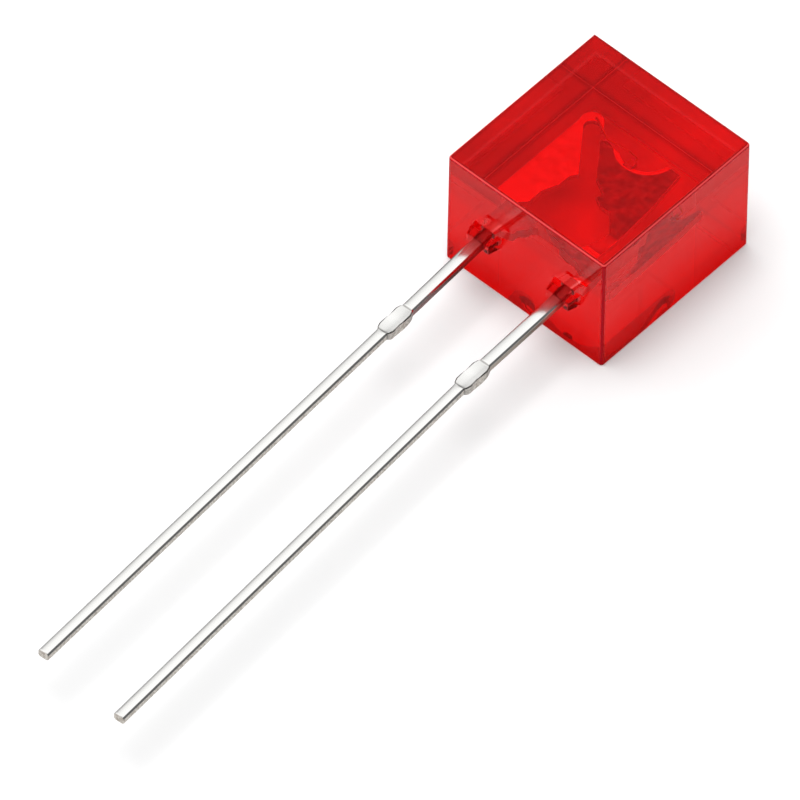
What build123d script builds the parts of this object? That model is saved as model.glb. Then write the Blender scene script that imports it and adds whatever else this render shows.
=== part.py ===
from build123d import *

import os
from math import cos, radians, sin

# Square light-emitting diode with two long leads, lying flat on one side.
#
# Frame: millimetres, +Z up. The origin is the centre of the body's underside.
# +Y runs along the device to its light-emitting end face, and the leads run out towards -Y.
# Heights inside the body are measured above the base, where the leads come out.

# Moulded body
body_width = 5.0        # across the two leads
body_length = 5.2       # from the base to the light-emitting face
body_thick = 3.7        # height as it lies
corner_round = 0.10     # the four edges that stand upright as it lies
rim_round = 0.04        # the edges around the top and the underside

# Resin that crept out along each lead at the base
collar_length = 0.38
nub_reach = 0.30        # sideways from the lead
nub_height = 0.42
nub_taper = 0.65        # outer end of a nub as a share of its root

# Lead frame sheet
sheet_thick = 0.27
frame_shift = 0.10      # the frame sits a little off the body's centre line
frame_lift = 0.03       # and a little above its middle
frame_half_width = 1.59  # from the frame's centre line to its outer edges
shank_edge = 0.03       # worn long edges of the leads beyond the stop

# Leads outside the body
lead_pitch = 2.54
lead_width = 0.29
neck_width = 0.33       # between the body and the stop
post_lead_length = 16.6
anvil_lead_length = 16.8
post_swing = 3.3        # degrees, the whole lead leans sideways from the base
anvil_swing_near = 2.0  # degrees, from the base to the stop
anvil_swing_far = 3.8   # degrees, from the stop to the tip
stop_distance = 3.5     # from the base to the middle of the stop
stop_length = 0.95
stop_width = 0.46
stop_end_width = 0.34
stop_flat = 0.40        # length of the stop's parallel middle

# Leads inside the body, up to where they widen
root_width = 0.40
root_height = 0.55

# Post: its inner edge from the foot up, then its rounded top
post_height = 4.0
post_foot_width = 0.83
post_foot_low = 0.85
post_foot_high = 1.30
blade_width = 1.02      # widest part of the post's blade
blade_draft = 0.02      # how much narrower it is at its lower corner
blade_low = 1.72
blade_high = 2.10
crown_drop = 0.42       # from the top down to where the outer edge starts to round
crown_peak_inset = 0.21  # insets are measured in from the post's outer edge
crown_end_inset = 0.51
crown_end_drop = 0.10
crown_corner_inset = 0.64
crown_corner_drop = 0.28

# Diagonal gap between the post and the anvil
gap_width = 0.42
gap_length = 2.0        # between the centres of its rounded ends
gap_slope = 52.3        # degrees below the line across the body
gap_strip = 0.19        # strip of the post left outside the gap's rounded end
gap_drop = 0.32         # centre of that end below the anvil's top
post_gap_high = 0.35    # along the gap from its end: where the post's edge meets it
post_gap_low = 1.42
anvil_gap_high = 0.36   # and the stretch that is the anvil's edge
anvil_gap_low = 1.56

# Anvil: its neck, then corners of its lower and outer edges, by their drop from its top
anvil_height = 3.9
neck_low = 1.04
neck_low_width = 0.35
neck_high = 1.42
neck_high_width = 0.30
heel_drop = 2.00
heel_inset = 0.74       # insets are measured in from the anvil's outer edge
heel_length = 0.28
toe_drop = 1.86
toe_inset = 1.28
toe_top_drop = 1.68
toe_top_inset = 1.20
flank_low_drop = 2.30
flank_drop = 1.13
flank_inset = 0.09
lip_inset = 0.26
lip_width = 0.30

# Reflector dish in the anvil's top, and the low horn on its other side
dish_inset = 1.37       # from the anvil's outer edge to the middle of the dish
dish_rise = 0.08        # centre of the dish above the anvil's top
dish_radius = 0.68
dish_bevel = 0.14       # how much wider the dish is at the sheet's faces
bevel_depth = 0.08
horn_reach = 0.84       # from the middle of the dish to the horn's outer corner
horn_drop = 0.40
horn_inner_reach = 0.52
horn_inner_drop = 0.46

# Light-emitting chip, its adhesive and its wire
die_side = 0.20
die_height = 0.15
attach_side = 0.24
attach_thick = 0.03
ball_radius = 0.045
ball_thick = 0.03
wire_radius = 0.02
wire_bend = 0.06        # radius of the wire's bends
wire_rise = 0.14        # wire above the sheet
wire_stand = 0.16       # wire in front of the chip
wire_near_run = 0.25    # sideways from the chip to where the wire has risen
wire_near_stand = 0.10
wire_far_run = 0.65     # sideways from its foot to where it turns towards the foot
wire_far_stand = 0.02
stitch_inset = 0.30     # wire's foot from the post's outer edge
stitch_drop = 0.16      # and below the post's top

# Planes and lines that several pieces share
base_y = -body_length / 2
frame_mid_z = body_thick / 2 + frame_lift
frame_low_z = frame_mid_z - sheet_thick / 2
frame_high_z = frame_mid_z + sheet_thick / 2
post_side = -frame_half_width
anvil_side = frame_half_width
post_x = frame_shift - lead_pitch / 2
anvil_x = frame_shift + lead_pitch / 2
gap_along = Vector(cos(radians(gap_slope)), -sin(radians(gap_slope)))
gap_across = Vector(sin(radians(gap_slope)), cos(radians(gap_slope)))
dish_x = anvil_side - dish_inset


def at(x, height):
    """A point of the frame: x from its centre line, height above the base."""
    return (frame_shift + x, base_y + height)


gap_end = Vector(at(post_side + gap_strip + gap_width / 2, anvil_height - gap_drop))


def stop_outline():
    """The long six-sided bulge that is left where the tie bar was cut off."""
    half_end = stop_end_width / 2
    half_wide = stop_width / 2
    half_flat = stop_flat / 2
    half_long = stop_length / 2
    Polygon(
        (-half_end, -half_long),
        (half_end, -half_long),
        (half_wide, -half_flat),
        (half_wide, half_flat),
        (half_end, half_long),
        (-half_end, half_long),
        (-half_wide, half_flat),
        (-half_wide, -half_flat),
        align=None,
    )


def lead_outline(x, swing_near, swing_far, length):
    """One lead's outline outside the body: neck, stop and shank, each leaning by its own angle."""
    neck_end = Location((x, base_y), swing_near) * Location((0, -stop_distance))
    with Locations(Location((x, base_y), swing_near)):
        Rectangle(neck_width, stop_distance, align=(Align.CENTER, Align.MAX))
    with Locations(neck_end):
        stop_outline()
    with Locations(Location(neck_end.position, (0, 0, swing_far))):
        Rectangle(lead_width, length - stop_distance, align=(Align.CENTER, Align.MAX))


def root_outline(x):
    """The straight foot of a lead, from the base up to where it widens."""
    with Locations((x, base_y)):
        Rectangle(root_width, root_height, align=(Align.CENTER, Align.MIN))


def ease_shank():
    """Wear the four long edges of the lead beyond its stop."""
    chamfer(edges().sort_by(SortBy.LENGTH)[-4:], shank_edge)


# Post: the narrow blade that the wire is bonded to
with BuildPart() as anode_lead:
    with BuildSketch(Plane.XY.offset(frame_low_z)):
        lead_outline(post_x, post_swing, post_swing, post_lead_length)
        root_outline(post_x)
        with BuildLine():
            outer_edge = Line(at(post_side, root_height), at(post_side, post_height - crown_drop))
            crown = ThreePointArc(
                outer_edge @ 1,
                at(post_side + crown_peak_inset, post_height),
                at(post_side + crown_end_inset, post_height - crown_end_drop),
            )
            Polyline(
                crown @ 1,
                at(post_side + crown_corner_inset, post_height - crown_corner_drop),
                gap_end + gap_along * post_gap_high,
                gap_end + gap_along * post_gap_low,
                at(post_side + blade_width, blade_high),
                at(post_side + blade_width - blade_draft, blade_low),
                at(post_side + post_foot_width, post_foot_high),
                at(post_side + post_foot_width, post_foot_low),
                at(root_width / 2 - lead_pitch / 2, root_height),
                outer_edge @ 0,
            )
        make_face()
        with Locations(Location(gap_end + gap_along * gap_length / 2, -gap_slope)):
            SlotCenterToCenter(gap_length, gap_width, mode=Mode.SUBTRACT)
    extrude(amount=sheet_thick)
    ease_shank()
anode_lead.part.label = "anode_lead"

# Anvil: the broad plate whose end is dished to hold the chip
with BuildPart() as cathode_lead:
    with BuildSketch(Plane.XY.offset(frame_low_z)):
        lead_outline(anvil_x, anvil_swing_near, anvil_swing_far, anvil_lead_length)
        root_outline(anvil_x)
        gap_wall = gap_end + gap_across * gap_width / 2
        inner_foot = at(lead_pitch / 2 - root_width / 2, root_height)
        with BuildLine():
            Polyline(
                inner_foot,
                at(anvil_side - neck_low_width, neck_low),
                at(anvil_side - neck_high_width, neck_high),
                at(anvil_side - heel_inset, anvil_height - heel_drop),
                at(anvil_side - heel_inset - heel_length, anvil_height - heel_drop),
                at(anvil_side - toe_inset, anvil_height - toe_drop),
                at(anvil_side - toe_top_inset, anvil_height - toe_top_drop),
                gap_wall + gap_along * anvil_gap_low,
                gap_wall + gap_along * anvil_gap_high,
                at(dish_x - horn_reach, anvil_height - horn_drop),
                at(dish_x - horn_inner_reach, anvil_height - horn_inner_drop),
                at(dish_x, anvil_height),
                at(anvil_side - lip_inset - lip_width, anvil_height),
                at(anvil_side - lip_inset, anvil_height),
                at(anvil_side - flank_inset, anvil_height - flank_drop),
                at(anvil_side, anvil_height - flank_low_drop),
                at(anvil_side, root_height),
                inner_foot,
            )
        make_face()
    extrude(amount=sheet_thick)
    ease_shank()
    with Locations((*at(dish_x, anvil_height + dish_rise), frame_mid_z)):
        Cylinder(dish_radius, sheet_thick, mode=Mode.SUBTRACT)
    with Locations((*at(dish_x, anvil_height + dish_rise), frame_high_z)):
        Cone(
            dish_radius,
            dish_radius + dish_bevel,
            bevel_depth,
            align=(Align.CENTER, Align.CENTER, Align.MAX),
            mode=Mode.SUBTRACT,
        )
    with Locations((*at(dish_x, anvil_height + dish_rise), frame_low_z)):
        Cone(
            dish_radius + dish_bevel,
            dish_radius,
            bevel_depth,
            align=(Align.CENTER, Align.CENTER, Align.MIN),
            mode=Mode.SUBTRACT,
        )
cathode_lead.part.label = "cathode_lead"

# Chip, looking along +Y, on the floor of the dish
die_x, die_low_y = at(dish_x, anvil_height + dish_rise - dish_radius + attach_thick)
die_high_y = die_low_y + die_height
with BuildPart() as led_die:
    with Locations((die_x, die_low_y, frame_mid_z)):
        Box(die_side, die_height, die_side, align=(Align.CENTER, Align.MIN, Align.CENTER))
led_die.part.label = "led_die"

# Adhesive between the chip and the dish, shaped by both
with BuildPart() as die_attach:
    with Locations((die_x, die_low_y, frame_mid_z)):
        Box(attach_side, attach_thick + bevel_depth, attach_side, align=(Align.CENTER, Align.MAX, Align.CENTER))
    add(cathode_lead.part, mode=Mode.SUBTRACT)
die_attach.part.label = "die_attach"

# Bonding wire from the chip's face to the top of the post
stitch_x, stitch_y = at(post_side + stitch_inset, post_height - stitch_drop)
wire_z = frame_high_z + wire_rise
with BuildPart() as bond_wire:
    with BuildLine():
        route = FilletPolyline(
            (die_x, die_high_y, frame_mid_z),
            (die_x, die_high_y + wire_stand, frame_mid_z),
            (die_x - wire_near_run, die_high_y + wire_near_stand, wire_z),
            (stitch_x + wire_far_run, die_high_y + wire_far_stand, wire_z),
            (stitch_x, stitch_y, wire_z),
            (stitch_x, stitch_y, frame_high_z),
            radius=wire_bend,
        )
    with BuildSketch(Plane(origin=route @ 0, z_dir=route % 0)):
        Circle(wire_radius)
    sweep()
    with BuildSketch(Plane.XZ.offset(-die_high_y)):
        with Locations((die_x, frame_mid_z)):
            Circle(ball_radius)
    extrude(amount=-ball_thick)
    with BuildSketch(Plane.XY.offset(frame_high_z)):
        with Locations((stitch_x, stitch_y)):
            Circle(ball_radius)
    extrude(amount=ball_thick)
bond_wire.part.label = "bond_wire"

# Clear resin body, cast around everything above
with BuildPart() as lens_body:
    with BuildSketch():
        RectangleRounded(body_width, body_length, corner_round)
    extrude(amount=body_thick)
    flat_rims = edges().group_by(Axis.Z)
    fillet(flat_rims[0] + flat_rims[-1], rim_round)
    for lead_x in (post_x, anvil_x):
        root_plane = Plane(origin=(lead_x, base_y, frame_mid_z), x_dir=(1, 0, 0), z_dir=(0, -1, 0))
        with BuildSketch(root_plane):
            Rectangle(neck_width + 2 * nub_reach, nub_height)
        with BuildSketch(root_plane.offset(collar_length)):
            Rectangle(neck_width + 2 * nub_reach * nub_taper, nub_height * nub_taper)
        loft()
    for inner in (anode_lead, cathode_lead, led_die, die_attach, bond_wire):
        add(inner.part, mode=Mode.SUBTRACT)
lens_body.part.label = "lens_body"

os.makedirs("parts", exist_ok=True)
export_step(lens_body.part, "parts/lens_body.step")
export_step(anode_lead.part, "parts/anode_lead.step")
export_step(cathode_lead.part, "parts/cathode_lead.step")
export_step(led_die.part, "parts/led_die.step")
export_step(die_attach.part, "parts/die_attach.step")
export_step(bond_wire.part, "parts/bond_wire.step")
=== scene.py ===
from math import cos, pi, radians, sin

import bmesh
import bpy
from mathutils import Matrix, Vector


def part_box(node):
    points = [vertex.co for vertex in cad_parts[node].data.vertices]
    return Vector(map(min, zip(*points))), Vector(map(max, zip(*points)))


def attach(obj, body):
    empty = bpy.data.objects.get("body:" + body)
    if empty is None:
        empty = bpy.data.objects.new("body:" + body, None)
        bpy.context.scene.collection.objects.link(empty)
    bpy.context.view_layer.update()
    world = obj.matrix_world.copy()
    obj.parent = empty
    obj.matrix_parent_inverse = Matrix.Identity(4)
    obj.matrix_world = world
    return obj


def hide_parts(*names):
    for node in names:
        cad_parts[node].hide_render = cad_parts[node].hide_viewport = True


# Square red light-emitting diode with two long leads, lying on its side.
# Metres. +Z is up, and the leads run out towards -Y.

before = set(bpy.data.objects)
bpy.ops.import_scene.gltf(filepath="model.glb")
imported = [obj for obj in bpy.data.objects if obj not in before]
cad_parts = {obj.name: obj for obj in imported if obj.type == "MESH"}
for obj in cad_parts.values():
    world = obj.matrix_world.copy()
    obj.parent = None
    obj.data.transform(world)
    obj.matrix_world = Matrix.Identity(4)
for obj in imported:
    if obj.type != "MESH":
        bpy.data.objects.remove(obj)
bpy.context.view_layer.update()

MM = 0.001

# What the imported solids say
body_high = Vector(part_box("lens_body")[1])
BASE_Y = -body_high.y
anode_low, anode_high = (Vector(corner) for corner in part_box("anode_lead"))
FRAME_MID_Z = (anode_low.z + anode_high.z) / 2

# Camera
CAMERA_AZIMUTH = radians(41.334)
CAMERA_ELEVATION = radians(50.828)
CAMERA_ROLL = radians(1.2347)
CAMERA_DISTANCE = 0.8
VIEW_WIDTH = 18.985 * MM
VIEW_AIM = (-2.9245 * MM, -2.1181 * MM)  # image centre from the middle of the base's lower edge

# Light
WORLD_LEVEL = 0.95
SKY_LEAN = 2.0  # how much stronger the light is from -X
SKY_SEEN = 1.45
SKY_EVEN = 0.68  # how far the resin evens out what is seen through it
SKY_HORIZON = 0.12  # dark room beyond the white sheet and the lamp
SKY_DARK_BELOW = 0.40  # sine of the elevation
SKY_BRIGHT_ABOVE = 0.84
SKY_ZENITH_DIP = 0.55  # so that flat tops stand out from the sheet when seen from above
SKY_ZENITH = (0.93, 0.985)  # sine of the elevation
SKY_LEAN_FLOOR = 0.1
SKY_UNDER_RESIN = 0.45  # share of the sky that scattered light brings back through the resin
SOFTBOX_HEIGHT = 0.30
SOFTBOX_SIDE = 0.20
SOFTBOX_RADIANCE = 5.8
SOFTBOX_SHIFT = (0.0, -0.02)

FLOOR_HALF = 0.6
FLOOR_DEPTH = 0.02 * MM
FLOOR_WHITE = 0.9
FLOOR_MIRRORED = 0.42  # painted reflection: the sheet is this grey in mirror images, some way from the body
FLOOR_MIRRORED_NEAR = (0.1 * MM, 0.9 * MM, 0.35)  # painted shade in mirror images: from and to this far off, and the share at its foot
# painted light in mirror images: the sheet is brighter farther off
FLOOR_MIRRORED_FAR = (0.9 * MM, 2.2 * MM, 1.35)
FLOOR_LIFT = 0.05
FLOOR_LIFT_THROUGH = 0.51
FLOOR_LIFT_ACROSS = (-2.6 * MM, 2.2 * MM, 0.65, 1.35)
FLOOR_LIFT_CLOUDS = (0.72, 1.28)

# Resin
RESIN_IOR = 1.54
RESIN_DENSITY = 2400.0  # 1/m
RESIN_COLOR = (0.966, 0.0, 0.0, 1.0)
RESIN_GLOSS = (1.0, 0.02, 0.03, 1.0)
CREST_GLOSS = (1.0, 0.5, 0.5, 1.0)
RIM_ROUGHNESS = 0.45
RIM_SQUARE = (0.978, 0.982)  # largest part of the normal, where the rim goes over into a flat
RIM_HEIGHT = (0.015 * MM, 0.025 * MM)  # the lower rim stays clear
RIM_CLEARNESS = 0.2
RIM_SPECULAR = 0.1
CREST_START = (0.42, 0.56)  # upward part of the normal
CREST_END = (0.82, 0.90)
RIM_SHADE_RED = (0.62, 0.0, 0.01, 1.0)  # painted shade: dark red on upright corners and under the rim
CREST_HIGHLIGHT_RED = (1.0, 0.10, 0.10, 1.0)  # painted highlight: thin bright line along the top rim
BROW_SHADE_RED = (0.25, 0.0, 0.0, 1.0)  # painted shade: darker line over it
LINE_INSET = 0.44 * MM  # faint light lines along the far edges of the top
LINE_FADE = (0.02 * MM, 0.06 * MM)
LINE_VEIL = 0.13
# painted light: the top is a little lighter between the far edges and the line
BORDER_END = (0.40 * MM, 0.46 * MM)
BORDER_VEIL = 0.025
VEIL_RED = (1.0, 0.05, 0.05, 1.0)
EDGE_SHADE = (0.06 * MM, 0.15 * MM, 0.45)
FOOT_SHADE = (0.66 * MM, 0.82 * MM, 0.17)
CLOUD_SHADE = 0.11
LAMP_THROUGH_RESIN = (0.10, 0.08, 0.08, 1.0)
CORNER_ROUND = 0.10 * MM
CORNER_ROUND_TIGHT = 0.08 * MM  # the near corner; the far one is left sharp
RIM_TOP = 0.08 * MM
RIM_BOTTOM = 0.012 * MM
COLLAR_LENGTH = 0.38 * MM
NUB_REACH = 0.30 * MM
NUB_HEIGHT = 0.42 * MM
NUB_TAPER = 0.65
NUB_SOFT = 0.02 * MM

# Leads outside the body: paths start at the base and lean to +X
POST_X = -1.17 * MM
ANVIL_X = 1.37 * MM
NECK_HALF = 0.165 * MM
SHANK_HALF = 0.155 * MM
SHANK_SHIFT = -0.010 * MM
STOP_DISTANCE = 3.5 * MM
STOP_HALF = 0.212 * MM
STOP_TOP = 0.128 * MM
STOP_BOTTOM = 0.175 * MM
STOP_HALF_FLAT = 0.31 * MM
STOP_HALF_LONG = 0.46 * MM
NECK_TOP = NECK_BOTTOM = 0.130 * MM
SHANK_TOP = 0.124 * MM
SHANK_BOTTOM = 0.120 * MM
LEAD_BEVEL = (0.038 * MM, 0.046 * MM)
STOP_BEVEL = (0.024 * MM, 0.022 * MM)
LEAD_CROWN = 0.009 * MM
STOP_CROWN = -0.014 * MM
LEAD_INSIDE = 0.30 * MM  # how far a lead reaches into the root of its plate
POST_SWING = (3.3, 3.3)
ANVIL_SWING = (2.0, 3.8)
POST_LENGTH = 16.6 * MM
ANVIL_LENGTH = 16.8 * MM
PLATE_EDGE = 0.012 * MM

# Tin
TIN_TOP = (0.70, 0.695, 0.68, 1)
TIN_INSIDE = (0.98, 0.96, 0.94, 1)
TIN_SHEARED = ((0.92, 0.87, 0.80, 1), (0.56, 0.50, 0.44, 1))
TIN_STOP_SHADE = (0.50, 0.495, 0.48, 1)
TIN_OUTLINE_SHADE = (0.16, 0.15, 0.14, 1)
TIN_BODY_REFLECTION = (0.34, 0.17, 0.16, 1)
TIN_CONTACT_SHADE = (0.12, 0.03, 0.03, 1)
BODY_REFLECTION_REACH = (0.34 * MM, 0.06 * MM)  # painted reflection of the red body, this far from the collar's end
PLATE_START = (-1.8 * MM, -1.2 * MM)  # where the leads inside go over into the plates
GRAIN_HEIGHT = 0.0000008
DISH_CONE = (0.82, 0.92)  # upward part of the normal on the dish's sloping rim


class Graph:
    """The nodes of a material or the world. A value is a number, a colour or another node's output."""

    def __init__(self, owner, output):
        owner.use_nodes = True
        self.nodes = owner.node_tree.nodes
        self.links = owner.node_tree.links
        self.nodes.clear()
        self.output = self.node(output)

    def node(self, kind):
        return self.nodes.new("ShaderNode" + kind)

    def feed(self, socket, value):
        if isinstance(value, bpy.types.NodeSocket):
            self.links.new(value, socket)
        else:
            socket.default_value = value

    def math(self, operation, first, second=0.0):
        node = self.node("Math")
        node.operation = operation
        self.feed(node.inputs[0], first)
        self.feed(node.inputs[1], second)
        return node.outputs[0]

    def product(self, first, *others):
        for other in others:
            first = self.math("MULTIPLY", first, other)
        return first

    def size(self, value):
        return self.math("ABSOLUTE", value)

    def distance(self, value, middle):
        return self.size(self.math("SUBTRACT", value, middle))

    def rest(self, value):
        return self.math("SUBTRACT", 1.0, value)

    def ramp(self, value, low, high, first, second, smooth=False):
        """Map a value from low..high to first..second."""
        node = self.node("MapRange")
        if smooth:
            node.interpolation_type = "SMOOTHSTEP"
        for name, number in (("From Min", low), ("From Max", high), ("To Min", first), ("To Max", second)):
            node.inputs[name].default_value = number
        self.links.new(value, node.inputs["Value"])
        return node.outputs["Result"]

    def rise(self, value, low, high):
        return self.ramp(value, low, high, 0.0, 1.0)

    def fall(self, value, low, high):
        return self.ramp(value, low, high, 1.0, 0.0)

    def mix(self, share, first, second, kind="RGBA"):
        """Mix of two colours, or of two numbers if kind is FLOAT."""
        node = self.node("Mix")
        node.data_type = kind
        for name, value in (("Factor", share), ("A", first), ("B", second)):
            self.feed(node.inputs[name], value)
        return node.outputs["Result"]

    def split(self, vector):
        node = self.node("SeparateXYZ")
        self.links.new(vector, node.inputs["Vector"])
        return node.outputs

    def place(self, kind):
        """The parts of the part's own coordinates, or of the shaded normal."""
        return self.split(self.node("TexCoord").outputs[kind])

    def noise(self, scale, stretch=(1, 1, 1), detail=3.0):
        """Noise in the part's own coordinates, drawn out along an axis by stretch."""
        mapping = self.node("Mapping")
        mapping.inputs["Scale"].default_value = stretch
        self.links.new(self.node("TexCoord").outputs["Object"], mapping.inputs["Vector"])
        texture = self.node("TexNoise")
        texture.inputs["Scale"].default_value = scale
        texture.inputs["Detail"].default_value = detail
        self.links.new(mapping.outputs["Vector"], texture.inputs["Vector"])
        return texture.outputs["Fac"]

    def light_path(self):
        return self.node("LightPath").outputs


def new_material(name):
    material = bpy.data.materials.new(name)
    return material, Graph(material, "OutputMaterial")


def resin_material():
    """Clear red epoxy: polished, with a fine frosted rim that carries a painted highlight line and painted dark red
    shade, and lamps reach what is behind it.
    """
    material, graph = new_material("clear_resin")
    facing = graph.place("Normal")
    where = graph.place("Object")
    of_body = graph.math("GREATER_THAN", where["Y"], BASE_Y - 0.001 * MM)

    squareness = graph.size(facing["X"])
    for axis in ("Y", "Z"):
        squareness = graph.math("MAXIMUM", squareness, graph.size(facing[axis]))
    # The rim's colour is painted light: a highlight line along its crest, and dark red shade above and below it.
    rim = graph.product(graph.fall(squareness, *RIM_SQUARE), of_body, graph.rise(where["Z"], *RIM_HEIGHT))
    upward = graph.math("MAXIMUM", facing["Z"], 0.0)
    over = graph.rise(upward, *CREST_END)
    crest_highlight = graph.product(graph.rest(over), graph.product(graph.rise(upward, *CREST_START), rim))
    rim_painted_light = graph.mix(crest_highlight, graph.mix(over, RIM_SHADE_RED, BROW_SHADE_RED), CREST_HIGHLIGHT_RED)

    top = graph.rise(facing["Z"], 0.98, 0.99)
    inset = graph.math(
        "MINIMUM", graph.math("ADD", where["X"], body_high.x), graph.math("SUBTRACT", body_high.y, where["Y"]),
    )
    line = graph.ramp(graph.distance(inset, LINE_INSET), *LINE_FADE, LINE_VEIL, 0.0)
    border = graph.ramp(inset, *BORDER_END, BORDER_VEIL, 0.0)
    veil = graph.product(graph.math("ADD", line, border), top)
    edge = graph.product(graph.ramp(inset, *EDGE_SHADE, 0.0), top)
    upright = graph.fall(graph.size(facing["Z"]), 0.05, 0.15)
    foot = graph.product(upright, graph.ramp(where["Z"], *FOOT_SHADE, 0.0), of_body)
    clouds = graph.ramp(graph.noise(600, detail=4.0), 0.32, 0.68, CLOUD_SHADE, 0.0)
    shade = graph.math("ADD", graph.math("ADD", edge, foot), clouds)
    tint = graph.mix(graph.math("GREATER_THAN", veil, 0.001), (1, 1, 1, 1), VEIL_RED)
    tint = graph.mix(shade, tint, (0, 0, 0, 1))

    glass = graph.node("BsdfPrincipled")
    glass.inputs["IOR"].default_value = RESIN_IOR
    glass.inputs["Transmission Weight"].default_value = 1.0
    clearness = graph.math("SUBTRACT", graph.ramp(rim, 0.0, 1.0, 1.0, RIM_CLEARNESS), veil)
    for name, value in (
        ("Roughness", graph.product(rim, RIM_ROUGHNESS)),
        ("Specular Tint", graph.mix(crest_highlight, RESIN_GLOSS, CREST_GLOSS)),
        ("Base Color", graph.mix(rim, tint, rim_painted_light)),
        ("Transmission Weight", clearness),
        ("Specular IOR Level", graph.ramp(rim, 0.0, 1.0, 0.5, RIM_SPECULAR)),
    ):
        graph.feed(glass.inputs[name], value)

    clear = graph.node("BsdfTransparent")
    clear.inputs["Color"].default_value = LAMP_THROUGH_RESIN
    either = graph.node("MixShader")
    graph.feed(either.inputs[0], graph.light_path()["Is Shadow Ray"])
    graph.feed(either.inputs[1], glass.outputs["BSDF"])
    graph.feed(either.inputs[2], clear.outputs["BSDF"])
    graph.feed(graph.output.inputs["Surface"], either.outputs["Shader"])
    dye = graph.node("VolumeAbsorption")
    dye.inputs["Color"].default_value = RESIN_COLOR
    dye.inputs["Density"].default_value = RESIN_DENSITY
    graph.feed(graph.output.inputs["Volume"], dye.outputs["Volume"])
    return material


def tin_material(name, plate, plate_rough, tilt, wave, neck_painted_shade):
    """Bright strip: smooth rolled faces, darker and rougher where it was sheared, and its plate inside."""
    material, graph = new_material(name)
    position = graph.node("TexCoord").outputs["Object"]
    where = graph.split(position)
    rolled = graph.size(graph.place("Normal")["Z"])
    lying = graph.split(graph.node("NewGeometry").outputs["True Normal"])["Z"]
    flatness = graph.size(lying)
    inside = graph.rise(where["Y"], BASE_Y - 0.05 * MM, BASE_Y + 0.05 * MM)
    fine = graph.noise(14000, (1, 0.06, 1), 2.0)
    specks = graph.noise(15000, detail=4.0)
    blotches = graph.noise(5200, detail=5.0)

    # Outside the body: sheared sides, flat tops, the stop, and the painted reflection of the red body next to the
    # collar
    neck_start = BASE_Y - STOP_DISTANCE + STOP_HALF_LONG
    on_neck = graph.ramp(where["Y"], neck_start, neck_start + 0.04 * MM, 0.0, 0.85)
    # painted shade and reflection of the red body: the sheared sides between the stop and the body take the neck
    # colour
    sheared = graph.mix(on_neck, graph.mix(graph.rise(specks, 0.40, 0.62), *TIN_SHEARED), neck_painted_shade)
    color = graph.mix(graph.rise(rolled, 0.05, 0.5), sheared, TIN_TOP)
    from_stop = graph.distance(where["Y"], BASE_Y - STOP_DISTANCE)
    on_stop = graph.fall(from_stop, STOP_HALF_LONG, STOP_HALF_LONG + 0.03 * MM)
    shade = graph.ramp(from_stop, 0.05 * MM, STOP_HALF_LONG, 0.0, 0.5)
    color = graph.mix(graph.product(on_stop, shade), color, TIN_STOP_SHADE)
    # painted shade: dark slanting faces round the stop and dark lines across its ends
    slanting = graph.product(graph.rise(rolled, 0.15, 0.35), graph.fall(rolled, 0.90, 0.97))
    ends = graph.ramp(graph.distance(from_stop, STOP_HALF_LONG), 0.006 * MM, 0.032 * MM, 0.55, 0.0)
    outline_shade = graph.math("MAXIMUM", graph.product(on_stop, slanting, 0.8), ends)
    color = graph.mix(outline_shade, color, TIN_OUTLINE_SHADE)
    collar_end = BASE_Y - COLLAR_LENGTH
    # painted reflection of the red body on the lead next to the collar, broken up by specks
    body_reflection = graph.ramp(where["Y"], collar_end - BODY_REFLECTION_REACH[0], collar_end - BODY_REFLECTION_REACH[1], 0.0, 0.72)
    body_reflection = graph.product(body_reflection, graph.ramp(specks, 0.35, 0.60, 0.75, 1.0))
    color = graph.mix(body_reflection, color, TIN_BODY_REFLECTION)

    # Inside the body: the plate's upper face is darker than the rest and blotchy, which on the cathode's plate is
    # painted shade
    flat = graph.product(graph.rise(lying, 0.90, 0.98), graph.rise(where["Y"], *PLATE_START))
    blotched_and_shaded = graph.mix(graph.rise(blotches, 0.35, 0.65), *plate)
    color = graph.mix(inside, color, graph.mix(flat, TIN_INSIDE, blotched_and_shaded))
    # painted shade: thin dark lines where the lead meets the resin, at the collar's end and at the base
    for distance in (COLLAR_LENGTH, 0.0):
        off = graph.distance(where["Y"], BASE_Y - distance)
        color = graph.mix(graph.ramp(off, 0.010 * MM, 0.026 * MM, 0.85, 0.0), color, TIN_CONTACT_SHADE)

    rough = graph.mix(
        inside, graph.ramp(rolled, 0.05, 0.6, 0.32, 0.13), graph.ramp(flatness, 0.2, 0.7, 0.6, plate_rough), "FLOAT",
    )
    grain = graph.product(graph.math("ADD", graph.product(specks, 0.6), fine), GRAIN_HEIGHT)
    lean = graph.node("VectorMath")
    lean.operation = "DOT_PRODUCT"
    lean.inputs[1].default_value = (-tilt[0], -tilt[1], 0)
    graph.feed(lean.inputs[0], position)
    slope = graph.math("ADD", lean.outputs["Value"], graph.product(blotches, wave))
    slope = graph.product(slope, graph.product(inside, flat))
    relief = graph.node("Bump")
    relief.inputs["Distance"].default_value = 1.0
    relief.inputs["Strength"].default_value = 1.0
    graph.feed(relief.inputs["Height"], graph.math("ADD", grain, slope))

    tin = graph.node("BsdfPrincipled")
    tin.inputs["Metallic"].default_value = 1.0
    graph.feed(tin.inputs["Base Color"], color)
    graph.feed(tin.inputs["Roughness"], rough)
    graph.feed(tin.inputs["Normal"], relief.outputs["Normal"])
    graph.feed(graph.output.inputs["Surface"], tin.outputs["BSDF"])
    return material


def plain_metal(name, color, roughness):
    material, graph = new_material(name)
    metal = graph.node("BsdfPrincipled")
    metal.inputs["Metallic"].default_value = 1.0
    metal.inputs["Base Color"].default_value = color
    grain = graph.ramp(graph.noise(30000), 0.3, 0.7, roughness - 0.05, roughness + 0.1)
    graph.feed(metal.inputs["Roughness"], grain)
    graph.feed(graph.output.inputs["Surface"], metal.outputs["BSDF"])
    return material


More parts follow.
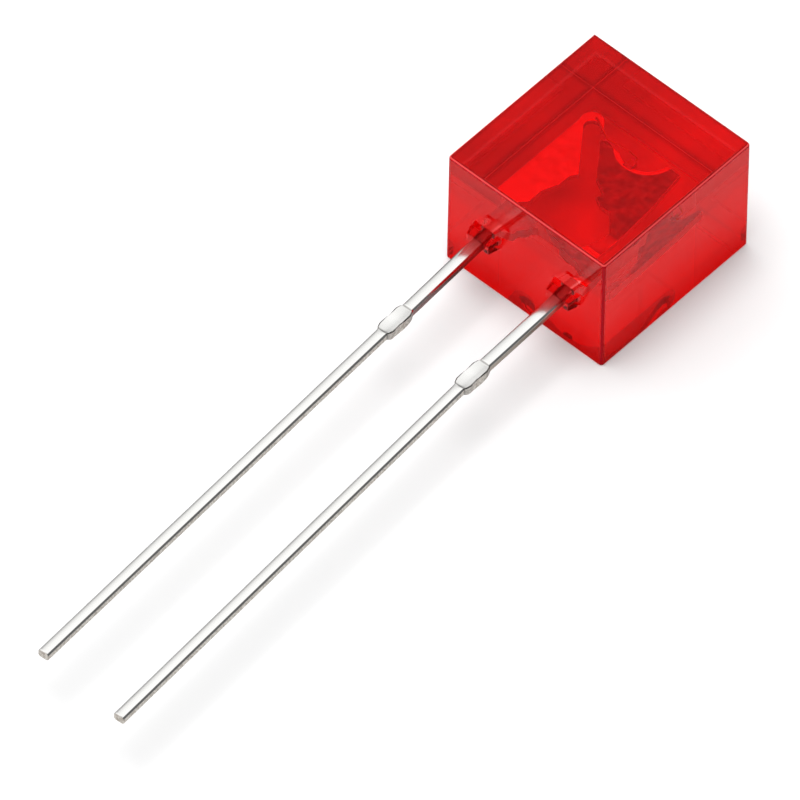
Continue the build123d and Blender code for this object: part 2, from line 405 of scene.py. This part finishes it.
def floor_material():
    """White sheet: lifted a little to the camera and through the resin, darker in mirror images."""
    material, graph = new_material("floor")
    path = graph.light_path()
    where = graph.place("Object")

    beside = graph.math("SUBTRACT", where["X"], body_high.x)
    before = graph.math("SUBTRACT", BASE_Y, where["Y"])
    away = graph.math("MAXIMUM", beside, before)
    near_start, near_end, near_share = FLOOR_MIRRORED_NEAR
    far_start, far_end, far_share = FLOOR_MIRRORED_FAR
    near = graph.ramp(away, near_start, near_end, near_share, 1.0)
    far = graph.ramp(away, far_start, far_end, 1.0, far_share)
    grey = graph.product(near, far, FLOOR_MIRRORED)
    mirrored = graph.product(path["Is Glossy Ray"], graph.rest(path["Is Transmission Ray"]))
    paint = graph.node("BsdfDiffuse")
    graph.feed(paint.inputs["Color"], graph.mix(mirrored, (FLOOR_WHITE, FLOOR_WHITE, FLOOR_WHITE, 1), grey))

    # painted light seen through the resin: the sheet glows more towards +X and in soft patches
    across = graph.ramp(where["X"], *FLOOR_LIFT_ACROSS)
    clouds = graph.ramp(graph.noise(700), 0.3, 0.7, *FLOOR_LIFT_CLOUDS)
    uneven = graph.product(across, clouds, FLOOR_LIFT_THROUGH)
    seen = graph.product(path["Is Camera Ray"], FLOOR_LIFT)
    lift = graph.node("Emission")
    through = graph.product(path["Is Transmission Ray"], uneven)
    graph.feed(lift.inputs["Strength"], graph.math("ADD", seen, through))
    both = graph.node("AddShader")
    graph.feed(both.inputs[0], paint.outputs["BSDF"])
    graph.feed(both.inputs[1], lift.outputs["Emission"])
    graph.feed(graph.output.inputs["Surface"], both.outputs["Shader"])
    return material


def mesh_object(name, bm, material):
    mesh = bpy.data.meshes.new(name)
    bm.to_mesh(mesh)
    bm.free()
    obj = bpy.data.objects.new(name, mesh)
    bpy.context.scene.collection.objects.link(obj)
    mesh.materials.append(material)
    return obj


def weighted_normals(mesh, limit=radians(40), level_cone=False):
    """Smooth over small faces only: each corner follows the largest faces that lie close to its own.

    With level_cone, the sloping rim of the dish shines like a flat one."""
    around = [[] for _ in mesh.vertices]
    for face in mesh.polygons:
        for index in face.vertices:
            around[index].append(face.index)
    facing = [face.normal.copy() for face in mesh.polygons]
    size = [face.area for face in mesh.polygons]
    nearest = cos(limit)
    normals = [None] * len(mesh.loops)
    for face in mesh.polygons:
        cone = level_cone and face.center.y > 0 and DISH_CONE[0] < abs(face.normal.z) < DISH_CONE[1]
        for loop_index in face.loop_indices:
            if cone:
                normals[loop_index] = Vector((0, 0, 1 if face.normal.z > 0 else -1))
                continue
            total = Vector((0, 0, 0))
            for other in around[mesh.loops[loop_index].vertex_index]:
                if facing[other].dot(facing[face.index]) > nearest:
                    total += facing[other] * size[other]
            normals[loop_index] = total.normalized() if total.length > 0 else facing[face.index]
    mesh.shade_smooth()
    mesh.normals_split_custom_set(normals)


def joined(base, tools, operation="UNION"):
    """One closed mesh out of several, by exact booleans. The tools are used up."""
    for tool in tools:
        cut = base.modifiers.new(tool.name, "BOOLEAN")
        cut.operation = operation
        cut.solver = "EXACT"
        cut.object = tool
    bpy.context.view_layer.update()
    evaluated = base.evaluated_get(bpy.context.evaluated_depsgraph_get())
    mesh = bpy.data.meshes.new_from_object(evaluated)
    base.modifiers.clear()
    base.data = mesh
    for tool in tools:
        bpy.data.objects.remove(tool)
    return base


def rounded_body():
    """The cast block: upright corners rounded, then both flat rims."""
    bm = bmesh.new()
    bmesh.ops.create_cube(bm, size=1.0)
    half = Vector((body_high.x, body_high.y, body_high.z / 2))
    for vert in bm.verts:
        vert.co = Vector((vert.co.x * 2 * half.x, vert.co.y * 2 * half.y, vert.co.z * 2 * half.z + half.z))
    for sides, radius in (
        (((-1, -1), (1, 1)), CORNER_ROUND),
        (((1, -1),), CORNER_ROUND_TIGHT),
    ):
        corners = [(side * half.x, end * half.y) for side, end in sides]
        upright = [
            edge for edge in bm.edges
            if abs(edge.verts[0].co.z - edge.verts[1].co.z) > half.z
            and any(abs(edge.verts[0].co.x - x) + abs(edge.verts[0].co.y - y) < 1e-7 for x, y in corners)
        ]
        bmesh.ops.bevel(bm, geom=upright, offset=radius, segments=6, profile=0.5, affect="EDGES")
    for height, radius in ((body_high.z, RIM_TOP), (0.0, RIM_BOTTOM)):
        rim = [edge for edge in bm.edges if all(abs(vert.co.z - height) < 1e-7 for vert in edge.verts)]
        bmesh.ops.bevel(bm, geom=rim, offset=radius, segments=5, profile=0.5, affect="EDGES")
    return bm


def collar(x):
    """Resin that crept out along a lead: a blunt wedge on either side of it."""
    bm = bmesh.new()
    bmesh.ops.create_cube(bm, size=1.0)
    for vert in bm.verts:
        out = vert.co.y < 0
        share = NUB_TAPER if out else 1.0
        vert.co = Vector((
            x + vert.co.x * 2 * (NECK_HALF + NUB_REACH * share),
            BASE_Y - COLLAR_LENGTH if out else BASE_Y + 0.2 * MM,
            FRAME_MID_Z + vert.co.z * NUB_HEIGHT * share,
        ))
    far = [edge for edge in bm.edges if not all(vert.co.y > BASE_Y for vert in edge.verts)]
    bmesh.ops.bevel(bm, geom=far, offset=NUB_SOFT, segments=3, profile=0.5, affect="EDGES")
    return mesh_object("collar", bm, resin)


def section(half, top, bottom, bevel, crown, rough=0.0, seed=0):
    """Ring of a lead, from its right side round over the top: (sideways, up) pairs."""
    across, down = bevel
    soft = 0.010 * MM
    ring = []
    for turn, thick, bulge in ((1, top, crown), (-1, bottom, 0.0)):
        upper = [
            (half, 0.0),
            (half, thick - down - soft),
            (half - 0.15 * across, thick - down),
            (half - across, thick - 0.12 * down),
            (half - across - soft, thick),
            ((half - across) * 0.5, thick + 0.75 * bulge),
            (0.0, thick + bulge),
            (-(half - across) * 0.5, thick + 0.75 * bulge),
            (-half + across + soft, thick),
            (-half + across, thick - 0.12 * down),
            (-half + 0.15 * across, thick - down),
            (-half, thick - down - soft),
        ]
        for order, (side, up) in enumerate(upper):
            jolt = rough * sin(7.3 * order + 12.9 * seed + 3.1 * turn) if order in (0, 1, 2, 10, 11) else 0.0
            ring.append((turn * side + jolt, turn * up))
    return ring


def blend(value, stations):
    """Straight-line interpolation in a list of (distance, value) pairs."""
    for (low, first), (high, second) in zip(stations, stations[1:]):
        if value <= high:
            share = (value - low) / (high - low) if high > low else 1.0
            share = max(0.0, share)
            return first + (second - first) * share
    return stations[-1][1]


def lead_mesh(x, swings, length):
    """A lead from inside its plate's root to its cut end, as one closed tube of rings."""
    near, far = (Vector((sin(radians(angle)), -cos(radians(angle)), 0)) for angle in swings)
    stop_near = STOP_DISTANCE - STOP_HALF_LONG
    stop_far = STOP_DISTANCE + STOP_HALF_LONG
    step = 0.03 * MM
    halves = [
        (-LEAD_INSIDE, NECK_HALF),
        (stop_near, NECK_HALF),
        (stop_near + 0.01 * MM, NECK_HALF + 0.012 * MM),
        (STOP_DISTANCE - STOP_HALF_FLAT, STOP_HALF),
        (STOP_DISTANCE + STOP_HALF_FLAT, STOP_HALF),
        (stop_far - 0.01 * MM, SHANK_HALF + 0.016 * MM),
        (stop_far, SHANK_HALF),
        (length, SHANK_HALF),
    ]
    tops = [
        (-LEAD_INSIDE, NECK_TOP), (stop_near - 0.5 * step, NECK_TOP),
        (stop_near + step, STOP_TOP), (stop_far - step, STOP_TOP),
        (stop_far + 2 * step, SHANK_TOP), (length, SHANK_TOP),
    ]
    bottoms = [
        (-LEAD_INSIDE, NECK_BOTTOM), (stop_near, NECK_BOTTOM),
        (stop_near + 3 * step, STOP_BOTTOM), (stop_far - 3 * step, STOP_BOTTOM),
        (stop_far, SHANK_BOTTOM), (length, SHANK_BOTTOM),
    ]
    flat = [(stop_near - step, 0.0), (stop_near + step, 1.0), (stop_far - step, 1.0), (stop_far + 2 * step, 0.0)]
    stations = [-LEAD_INSIDE, 0.0, 0.6 * stop_near, stop_near - 4 * step]
    count = int(2 * STOP_HALF_LONG / step)
    stations += [stop_near - 2 * step, stop_near - step]
    stations += [stop_near + 2 * STOP_HALF_LONG * index / count for index in range(count + 1)]
    stations += [stop_far + 0.01 * MM, stop_far + step, stop_far + 3 * step, stop_far + 6 * step]
    stations += [stop_far + (length - stop_far) * share for share in (0.25, 0.5, 0.75)]
    stations += [length - 0.04 * MM, length - 0.012 * MM, length]
    bm = bmesh.new()
    rings = []
    start = Vector((x, BASE_Y, FRAME_MID_Z))
    bend = start + near * STOP_DISTANCE
    for index, distance in enumerate(stations):
        beyond = distance > STOP_DISTANCE
        along = far if beyond else near
        centre = bend + along * (distance - STOP_DISTANCE)
        side = Vector((-along.y, along.x, 0))
        share = blend(distance, [(-1.0, 0.0)] + flat)
        bevel = [a + (b - a) * share for a, b in zip(LEAD_BEVEL, STOP_BEVEL)]
        crown = LEAD_CROWN + (STOP_CROWN - LEAD_CROWN) * share
        ring = section(
            blend(distance, halves), blend(distance, tops), blend(distance, bottoms),
            bevel, crown, 0.007 * MM * share, index,
        )
        shift = SHANK_SHIFT if beyond else 0.0
        shrink = 0.95 if index == len(stations) - 1 else 1.0
        rings.append([
            bm.verts.new(centre + side * (shift + across * shrink) + Vector((0, 0, up * shrink)))
            for across, up in ring
        ])
    for first, second in zip(rings, rings[1:]):
        for index in range(len(first)):
            after = (index + 1) % len(first)
            bm.faces.new((first[index], first[after], second[after], second[index]))
    bm.faces.new(list(reversed(rings[0])))
    bm.faces.new(rings[-1])
    bmesh.ops.recalc_face_normals(bm, faces=bm.faces)
    return bm


def plate_mesh(node_name):
    """The plate inside the body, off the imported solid, with its sheared edges eased."""
    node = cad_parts[node_name]
    bm = bmesh.new()
    bm.from_mesh(node.data)
    bmesh.ops.transform(bm, matrix=node.matrix_world, verts=bm.verts)
    bmesh.ops.remove_doubles(bm, verts=bm.verts, dist=0.0001 * MM)
    bmesh.ops.bisect_plane(
        bm, geom=bm.verts[:] + bm.edges[:] + bm.faces[:], dist=1e-9,
        plane_co=(0, BASE_Y + 0.001 * MM, 0), plane_no=(0, -1, 0), clear_outer=True,
    )
    bmesh.ops.holes_fill(bm, edges=[edge for edge in bm.edges if edge.is_boundary], sides=0)
    bmesh.ops.dissolve_limit(bm, angle_limit=radians(0.5), verts=bm.verts, edges=bm.edges)
    sheared = [
        edge for edge in bm.edges
        if len(edge.link_faces) == 2
        and any(abs(face.normal.z) > 0.99 for face in edge.link_faces)
        and any(abs(face.normal.z) < 0.1 for face in edge.link_faces)
    ]
    bmesh.ops.bevel(bm, geom=sheared, offset=PLATE_EDGE, segments=2, profile=0.5, affect="EDGES", clamp_overlap=True)
    bmesh.ops.recalc_face_normals(bm, faces=bm.faces)
    return bm


resin = resin_material()
post_tin = tin_material(
    "silvered_strip", ((0.99, 0.98, 0.97, 1), (0.88, 0.87, 0.86, 1)), 0.20, (0.0, 0.0), 0.000002,
    (0.30, 0.15, 0.15, 1),
)
# The cathode's copy of the strip: its plate top is painted darker as shade, and its neck gets a browner painted
# shade.
anvil_tin = tin_material(
    "strip_with_painted_shade", ((0.55, 0.54, 0.53, 1), (0.85, 0.83, 0.81, 1)), 0.24, (-0.075, 0.085), 0.000006,
    (0.58, 0.50, 0.42, 1),
)
gold = plain_metal("gold_wire", (0.85, 0.60, 0.25, 1), 0.45)
chip = plain_metal("chip", (0.75, 0.55, 0.2, 1), 0.5)
silver = plain_metal("silver_adhesive", (0.7, 0.7, 0.68, 1), 0.5)

body = mesh_object("resin_body", rounded_body(), resin)
joined(body, [collar(POST_X), collar(ANVIL_X)])
weighted_normals(body.data)
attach(body, "root")
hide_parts("lens_body")

for node_name, x, swings, length, tin in (
    ("anode_lead", POST_X, POST_SWING, POST_LENGTH, post_tin),
    ("cathode_lead", ANVIL_X, ANVIL_SWING, ANVIL_LENGTH, anvil_tin),
):
    lead = mesh_object(node_name + "_strip", plate_mesh(node_name), tin)
    joined(lead, [mesh_object("shank", lead_mesh(x, swings, length), tin)])
    weighted_normals(lead.data, radians(30), level_cone=True)
    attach(lead, "root")
    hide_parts(node_name)

for node_name, material in (
    ("bond_wire", gold),
    ("led_die", chip),
    ("die_attach", silver),
):
    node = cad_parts[node_name]
    node.data.materials.clear()
    node.data.materials.append(material)

# Floor
floor_bm = bmesh.new()
bmesh.ops.create_grid(floor_bm, x_segments=1, y_segments=1, size=FLOOR_HALF)
for vert in floor_bm.verts:
    vert.co.z = -FLOOR_DEPTH
floor = mesh_object("floor", floor_bm, floor_material())

# World
world = bpy.data.worlds.new("studio")
bpy.context.scene.world = world
sky = Graph(world, "OutputWorld")
path = sky.light_path()
direction = sky.place("Generated")

undiffused = sky.math("LESS_THAN", path["Diffuse Depth"], 0.5)
seen = sky.math("MAXIMUM", path["Is Camera Ray"], path["Is Glossy Ray"])
seen = sky.math("MAXIMUM", seen, path["Is Transmission Ray"])
strength = sky.ramp(sky.product(seen, undiffused), 0.0, 1.0, WORLD_LEVEL, SKY_SEEN)

dome = sky.ramp(direction["Z"], SKY_DARK_BELOW, SKY_BRIGHT_ABOVE, SKY_HORIZON, 1.0, smooth=True)
dip = sky.ramp(direction["Z"], *SKY_ZENITH, 0.0, SKY_ZENITH_DIP)
dome = sky.product(dome, sky.rest(sky.product(dip, sky.rest(path["Is Diffuse Ray"]))))
evened = sky.mix(sky.product(path["Is Transmission Ray"], SKY_EVEN), dome, (1, 1, 1, 1))

lean = sky.math("MAXIMUM", sky.rest(sky.product(direction["X"], SKY_LEAN)), SKY_LEAN_FLOOR)
lit = sky.mix(path["Is Diffuse Ray"], (1, 1, 1, 1), lean)
under_resin = sky.product(sky.rest(undiffused), path["Is Transmission Ray"])
lit = sky.mix(under_resin, lit, (SKY_UNDER_RESIN, SKY_UNDER_RESIN, SKY_UNDER_RESIN, 1))

both = sky.node("VectorMath")
both.operation = "MULTIPLY"
sky.feed(both.inputs[0], evened)
sky.feed(both.inputs[1], lit)
background = sky.node("Background")
sky.feed(background.inputs["Color"], both.outputs["Vector"])
sky.feed(background.inputs["Strength"], strength)
sky.feed(sky.output.inputs["Surface"], background.outputs["Background"])

# Softbox
lamp = bpy.data.lights.new("softbox", "AREA")
lamp.shape = "DISK"
lamp.size = SOFTBOX_SIDE
lamp.energy = SOFTBOX_RADIANCE * pi * pi * (SOFTBOX_SIDE / 2)**2
softbox = bpy.data.objects.new("softbox", lamp)
softbox.location = (SOFTBOX_SHIFT[0], SOFTBOX_SHIFT[1], SOFTBOX_HEIGHT)
softbox.visible_glossy = False
bpy.context.scene.collection.objects.link(softbox)

# Camera
back = Vector((
    sin(CAMERA_AZIMUTH) * cos(CAMERA_ELEVATION),
    -cos(CAMERA_AZIMUTH) * cos(CAMERA_ELEVATION),
    sin(CAMERA_ELEVATION),
))
level_right = Vector((cos(CAMERA_AZIMUTH), sin(CAMERA_AZIMUTH), 0))
level_up = back.cross(level_right)
right = level_right * cos(CAMERA_ROLL) + level_up * sin(CAMERA_ROLL)
up = level_up * cos(CAMERA_ROLL) - level_right * sin(CAMERA_ROLL)
aim = Vector((0, BASE_Y, 0)) + right * VIEW_AIM[0] + up * VIEW_AIM[1]
camera_data = bpy.data.cameras.new("camera")
camera_data.sensor_width = 36
camera_data.lens = 36 * CAMERA_DISTANCE / VIEW_WIDTH
camera_data.clip_start = 0.01
camera_data.clip_end = 10
camera = bpy.data.objects.new("camera", camera_data)
camera.matrix_world = Matrix((
    (right.x, up.x, back.x, 0),
    (right.y, up.y, back.y, 0),
    (right.z, up.z, back.z, 0),
    (0, 0, 0, 1),
))
camera.location = aim + back * CAMERA_DISTANCE
bpy.context.scene.collection.objects.link(camera)
bpy.context.scene.camera = camera

scene = bpy.context.scene
scene.view_settings.view_transform = "Standard"
scene.cycles.max_bounces = 24
scene.cycles.transmission_bounces = 24
scene.cycles.glossy_bounces = 12
scene.cycles.transparent_max_bounces = 24
